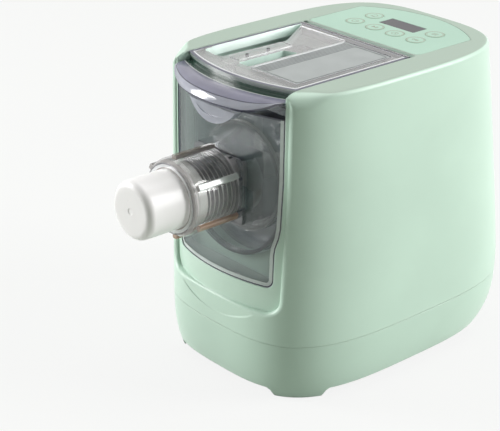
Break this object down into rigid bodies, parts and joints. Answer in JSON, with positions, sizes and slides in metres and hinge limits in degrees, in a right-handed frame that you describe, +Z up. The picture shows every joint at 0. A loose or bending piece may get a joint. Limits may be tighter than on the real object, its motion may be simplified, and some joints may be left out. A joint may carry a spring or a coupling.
{
  "type": "electric pasta maker",
  "caption": "Countertop machine that kneads dough in a drum under a see-through lid and pushes it by a screw out of a slotted die at the front.",
  "frame": {"origin": "on the supporting surface, in the middle of the feet", "axes": "+Z up, -Y towards the front where the pasta comes out, +X to the right seen from the front"},
  "size_m": [0.229, 0.4163, 0.3003],
  "materials": {
    "mint": "satin",
    "mint_gloss": "polished",
    "smoke_clear": "polished, see-through",
    "clear": "polished, see-through",
    "white_plastic": "satin",
    "frosted_plate": "frosted",
    "dark_window": "polished",
    "dark_plastic": "matte",
    "seal_rubber": "matte",
    "foot_rubber": "matte",
    "steel": "brushed",
    "gear_nylon": "satin",
    "bronze": "satin",
    "iron_core": "matte",
    "board_green": "satin",
    "part_blue": "satin",
    "heatsink": "satin"
  },
  "bodies": {
    "machine": {"housing_shell": "mint", "base_shell": "mint", "foot_pad_front_left": "foot_rubber", "foot_pad_front_right": "foot_rubber", "foot_pad_rear_left": "foot_rubber", "foot_pad_rear_right": "foot_rubber", "base_screws": "steel", "bay_liner": "mint", "front_cradle": "dark_plastic", "rear_cradle": "dark_plastic", "liner_shaft_seal": "seal_rubber", "control_panel": "mint_gloss", "display_window": "dark_window", "control_board": "board_green", "display_module": "white_plastic", "key_switches": "dark_plastic", "board_screws": "steel", "reed_switch": "white_plastic", "hinge_pin_left": "steel", "hinge_pin_right": "steel", "gearbox_case": "gear_nylon", "gearbox_cover": "gear_nylon", "gearbox_screws": "steel", "output_bushing": "bronze", "motor_can": "steel", "motor_stator": "iron_core", "motor_end_cap": "steel", "motor_bracket": "dark_plastic", "power_board": "board_green", "board_capacitor": "dark_plastic", "board_relay": "part_blue", "board_heatsink": "heatsink", "mains_inlet": "dark_plastic"},
    "lid": {"lid_cover": "clear", "lid_label_plate": "frosted_plate", "lid_magnet": "dark_plastic"},
    "cup": {"mixing_cup": "smoke_clear", "cup_shaft_seal": "seal_rubber"},
    "panel": {"front_panel": "smoke_clear", "panel_seal": "seal_rubber"},
    "die": {"pasta_die": "white_plastic"},
    "nut": {"nozzle_nut": "clear"},
    "paddle": {"mixing_paddle": "white_plastic", "extruding_auger": "white_plastic"},
    "output": {"drive_shaft": "steel", "output_gear": "gear_nylon"},
    "middle": {"middle_shaft": "steel", "middle_pinion": "steel", "middle_gear": "gear_nylon"},
    "rotor": {"rotor_shaft": "steel", "rotor_core": "iron_core", "motor_pinion": "steel", "cooling_fan": "dark_plastic"},
    "key_power": {"key_power": "mint_gloss"},
    "key_program": {"key_program": "mint_gloss"},
    "key_start": {"key_start": "mint_gloss"},
    "key_time": {"key_time": "mint_gloss"},
    "key_extrude": {"key_extrude": "mint_gloss"},
    "key_menu": {"key_menu": "mint_gloss"}
  },
  "joints": [
    {"name": "lid_hinge", "type": "hinge", "parent": "machine", "child": "lid", "pos_m": [0, 0.024, 0.2935], "axis": [-1, 0, 0], "range_deg": [0, 90]},
    {"name": "cup_slide", "type": "slide", "parent": "machine", "child": "cup", "axis": [0, -1, 0], "range_m": [0, 0.17]},
    {"name": "panel_slide", "type": "slide", "parent": "cup", "child": "panel", "axis": [0, -1, 0], "range_m": [0, 0.1]},
    {"name": "die_slide", "type": "slide", "parent": "panel", "child": "die", "axis": [0, -1, 0], "range_m": [0, 0.0301]},
    {"name": "nut_turn", "type": "hinge", "parent": "die", "child": "nut", "pos_m": [0, -0.175, 0.198], "axis": [0, -1, 0], "range_deg": [0, 1800]},
    {"name": "paddle_spin", "type": "hinge", "parent": "cup", "child": "paddle", "pos_m": [0, -0.04, 0.198], "axis": [0, 1, 0], "continuous": true},
    {"name": "output_spin", "type": "hinge", "parent": "machine", "child": "output", "pos_m": [0, 0.045, 0.198], "axis": [0, 1, 0], "continuous": true},
    {"name": "middle_spin", "type": "hinge", "parent": "machine", "child": "middle", "pos_m": [0, 0.05, 0.144], "axis": [0, 1, 0], "continuous": true},
    {"name": "rotor_spin", "type": "hinge", "parent": "machine", "child": "rotor", "pos_m": [0, 0.1, 0.1], "axis": [0, 1, 0], "continuous": true},
    {"name": "press_power", "type": "slide", "parent": "machine", "child": "key_power", "axis": [0, 0, -1], "range_m": [0, 0.0006], "stiffness_N_per_m": 1500, "springref_m": -0.0003},
    {"name": "press_program", "type": "slide", "parent": "machine", "child": "key_program", "axis": [0, 0, -1], "range_m": [0, 0.0006], "stiffness_N_per_m": 1500, "springref_m": -0.0003},
    {"name": "press_start", "type": "slide", "parent": "machine", "child": "key_start", "axis": [0, 0, -1], "range_m": [0, 0.0006], "stiffness_N_per_m": 1500, "springref_m": -0.0003},
    {"name": "press_time", "type": "slide", "parent": "machine", "child": "key_time", "axis": [0, 0, -1], "range_m": [0, 0.0006], "stiffness_N_per_m": 1500, "springref_m": -0.0003},
    {"name": "press_extrude", "type": "slide", "parent": "machine", "child": "key_extrude", "axis": [0, 0, -1], "range_m": [0, 0.0006], "stiffness_N_per_m": 1500, "springref_m": -0.0003},
    {"name": "press_menu", "type": "slide", "parent": "machine", "child": "key_menu", "axis": [0, 0, -1], "range_m": [0, 0.0006], "stiffness_N_per_m": 1500, "springref_m": -0.0003}
  ],
  "couplings": [
    {"joint": "paddle_spin", "follows": "output_spin", "ratio": 1},
    {"joint": "middle_spin", "follows": "output_spin", "ratio": -4.4},
    {"joint": "rotor_spin", "follows": "output_spin", "ratio": 19.8},
    {"joint": "die_slide", "follows": "nut_turn", "m_per_rad": 0.00095493}
  ]
}
